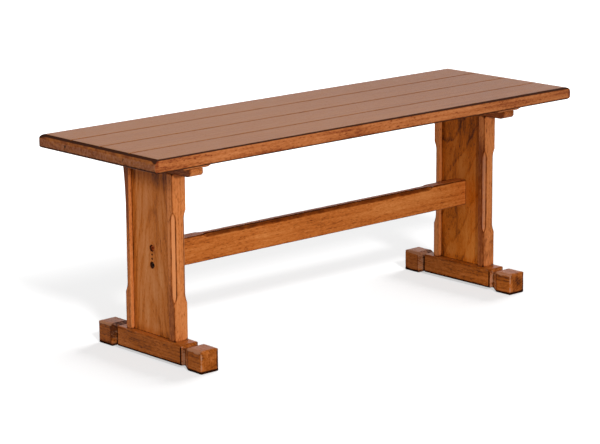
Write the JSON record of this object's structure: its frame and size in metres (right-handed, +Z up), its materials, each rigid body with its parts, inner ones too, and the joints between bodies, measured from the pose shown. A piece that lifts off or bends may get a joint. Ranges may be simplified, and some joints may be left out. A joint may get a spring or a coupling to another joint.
{
  "type": "trestle bench",
  "caption": "Wooden trestle bench: a boarded seat on panelled legs with carved feet, tied together by a low bolted stretcher, for sitting at a breakfast table",
  "frame": {"origin": "on the floor, under the middle of the seat", "axes": "X along the bench, Y from its front to its back, Z up"},
  "size_m": [1.194, 0.376, 0.457],
  "materials": {
    "seat_wood": "satin lacquer over an orange-brown stain",
    "leg_wood": "satin lacquer over an orange-brown stain",
    "panel_wood": "satin lacquer over a mid brown stain",
    "foot_wood": "satin lacquer over a darker brown stain",
    "dark_steel": "dark oxide",
    "zinc_steel": "zinc plated"
  },
  "bodies": {
    "root": {"seat_board_1": "seat_wood", "seat_board_2": "seat_wood", "seat_board_3": "seat_wood", "seat_board_4": "seat_wood", "cleat_left": "leg_wood", "cleat_right": "leg_wood", "bolster_left": "leg_wood", "bolster_right": "leg_wood", "leg_stile_left_front": "leg_wood", "leg_stile_left_back": "leg_wood", "leg_stile_right_front": "leg_wood", "leg_stile_right_back": "leg_wood", "leg_panel_left": "panel_wood", "leg_panel_right": "panel_wood", "foot_left": "foot_wood", "foot_right": "foot_wood", "stretcher": "leg_wood", "stretcher_bolt_left_lower": "dark_steel", "stretcher_bolt_left_upper": "dark_steel", "stretcher_bolt_right_lower": "dark_steel", "stretcher_bolt_right_upper": "dark_steel", "stretcher_nut_left_lower": "zinc_steel", "stretcher_nut_left_upper": "zinc_steel", "stretcher_nut_right_lower": "zinc_steel", "stretcher_nut_right_upper": "zinc_steel", "stretcher_pin_left_lower": "dark_steel", "stretcher_pin_left_upper": "dark_steel", "stretcher_pin_right_lower": "dark_steel", "stretcher_pin_right_upper": "dark_steel", "cleat_screw_left_1": "dark_steel", "cleat_screw_left_2": "dark_steel", "cleat_screw_left_3": "dark_steel", "cleat_screw_left_4": "dark_steel", "cleat_screw_right_1": "dark_steel", "cleat_screw_right_2": "dark_steel", "cleat_screw_right_3": "dark_steel", "cleat_screw_right_4": "dark_steel", "bolster_screw_left_front": "dark_steel", "bolster_screw_left_back": "dark_steel", "bolster_screw_right_front": "dark_steel", "bolster_screw_right_back": "dark_steel"}
  },
  "joints": []
}
